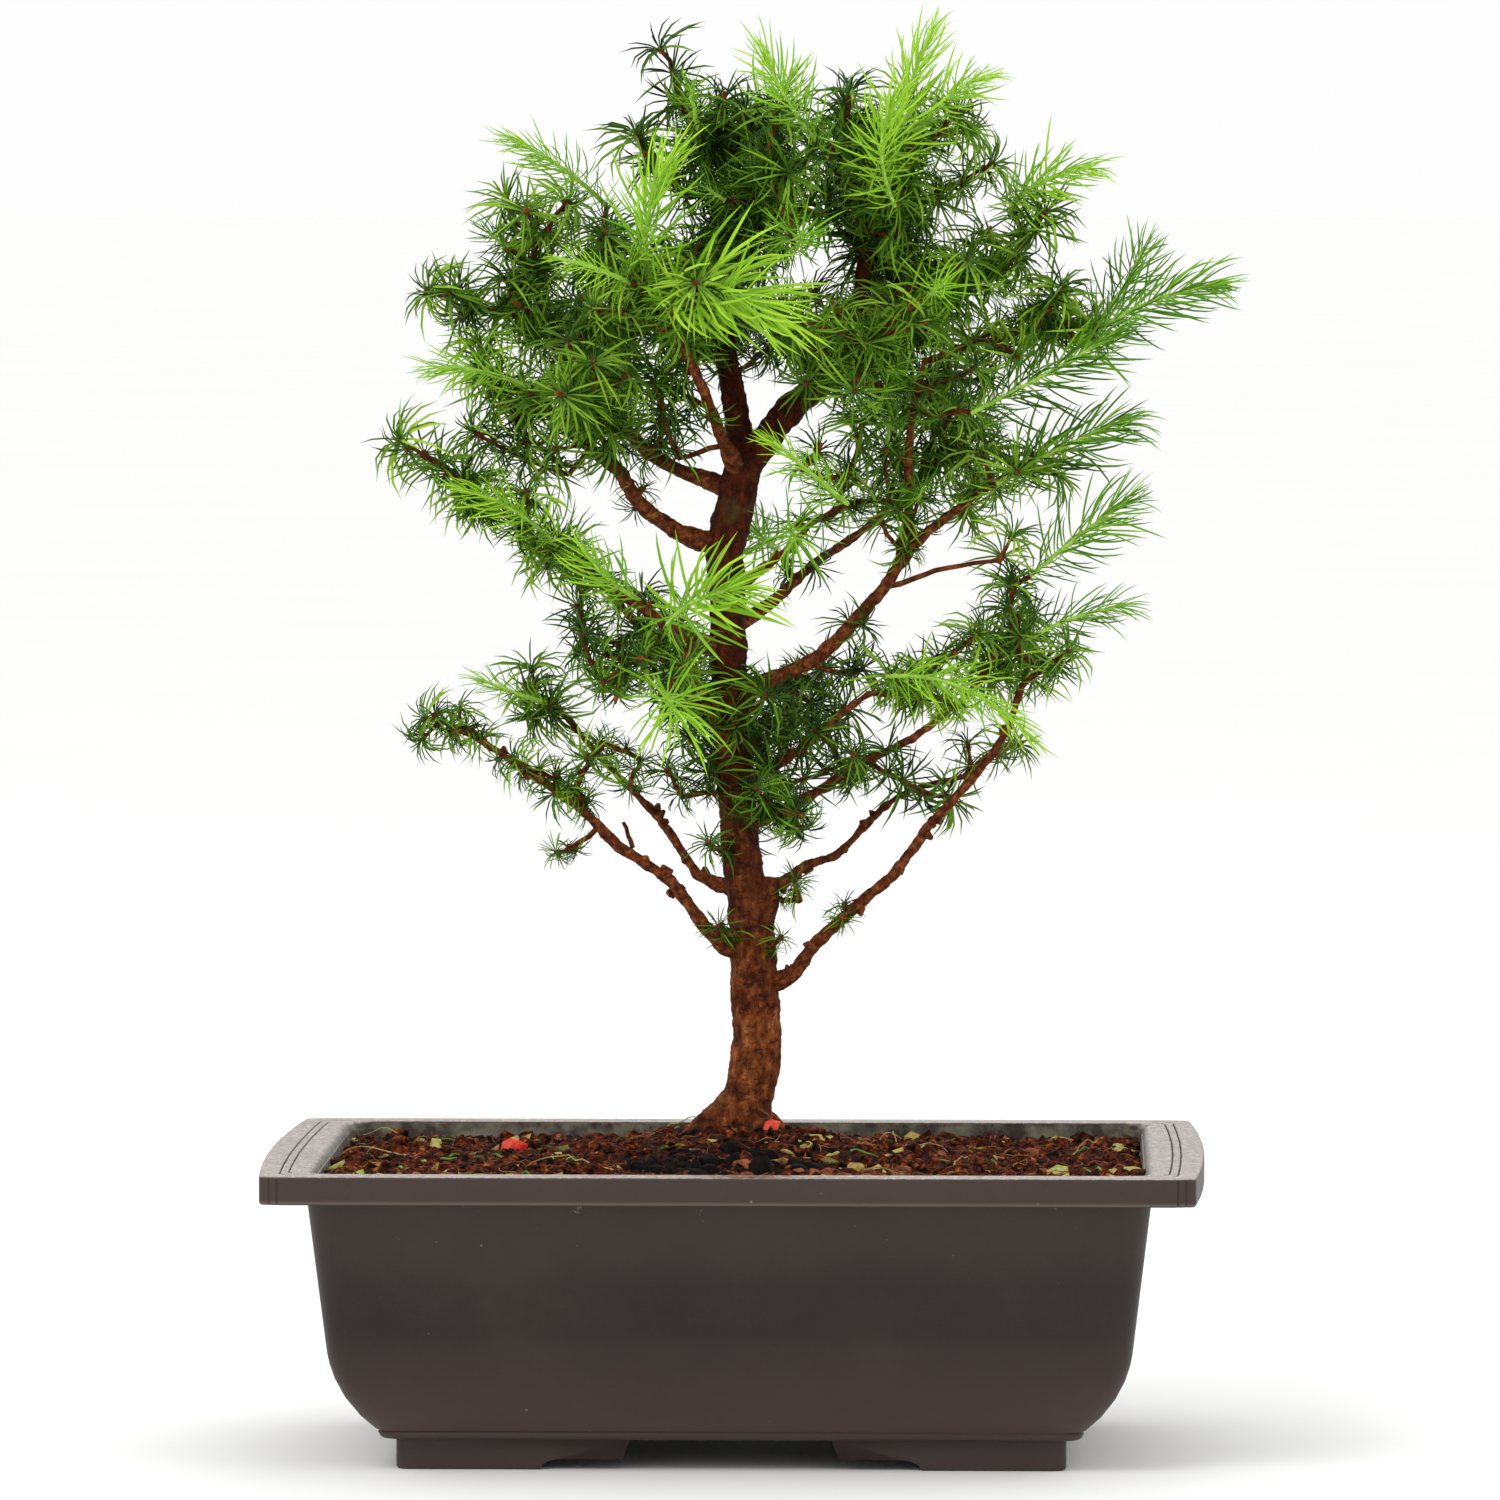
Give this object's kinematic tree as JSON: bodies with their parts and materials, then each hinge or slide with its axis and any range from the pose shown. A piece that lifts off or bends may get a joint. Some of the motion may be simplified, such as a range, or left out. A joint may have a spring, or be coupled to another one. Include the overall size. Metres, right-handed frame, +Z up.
{
  "type": "bonsai tree",
  "caption": "Young larch grown as a bonsai, with a bare lower trunk and an open crown of needle sprays, planted in soil in a shallow rectangular pot with a flanged rim and notched feet",
  "frame": {"origin": "centre of the whole plant's bounding box, on the ground under the pot's feet", "axes": "+Z up along the trunk, +X to the right along the pot's long side seen from the front, +Y from the front to the back"},
  "size_m": [0.2339, 0.16, 0.3433],
  "materials": {
    "pot_plastic": "dull moulded plastic, scuffed and weathered",
    "soil_mix": "loose fibrous bark and coir mix with stone chips",
    "bark": "rough flaking bark",
    "young_bark": "thin scaly bark with spurs and buds",
    "old_needles": "dull green needles",
    "young_needles": "fresh bright needles"
  },
  "bodies": {
    "root": {"branch_back_left": "young_bark", "branch_back_low": "young_bark", "branch_back_right": "young_bark", "branch_back_upper": "young_bark", "branch_front_low": "young_bark", "branch_front_mid": "young_bark", "branch_front_upper": "young_bark", "branch_left_back": "young_bark", "branch_left_low": "young_bark", "branch_left_mid": "young_bark", "branch_left_second": "young_bark", "branch_left_upper": "young_bark", "branch_right_fork": "young_bark", "branch_right_inner": "young_bark", "branch_right_low": "young_bark", "branch_right_mid": "young_bark", "branch_right_second": "young_bark", "branch_right_small": "young_bark", "needles_back_crown": "young_needles", "needles_back_left": "young_needles", "needles_back_low": "old_needles", "needles_back_middle": "young_needles", "needles_back_right": "old_needles", "needles_back_upper_left": "old_needles", "needles_back_upper_right": "old_needles", "needles_crown_back": "old_needles", "needles_crown_front": "old_needles", "needles_crown_left": "old_needles", "needles_crown_mid": "young_needles", "needles_crown_right": "young_needles", "needles_far_left": "young_needles", "needles_far_right": "young_needles", "needles_front_centre": "young_needles", "needles_front_lower_star": "young_needles", "needles_front_right_mid": "young_needles", "needles_front_right_upper": "old_needles", "needles_front_shoot": "young_needles", "needles_front_star": "young_needles", "needles_front_upright": "young_needles", "needles_left_centre": "old_needles", "needles_left_front": "old_needles", "needles_left_inner": "old_needles", "needles_left_low_tip": "old_needles", "needles_left_second_tip": "young_needles", "needles_left_shoot": "young_needles", "needles_left_shoulder": "young_needles", "needles_left_tip": "old_needles", "needles_right_inner": "old_needles", "needles_right_inner_tip": "old_needles", "needles_right_low_tip": "young_needles", "needles_right_lower": "young_needles", "needles_right_middle": "young_needles", "needles_right_second_tip": "old_needles", "needles_right_shoulder": "young_needles", "needles_right_small": "young_needles", "needles_trunk_cluster": "old_needles", "pot": "pot_plastic", "soil": "soil_mix", "trunk": "bark"}
  },
  "joints": []
}
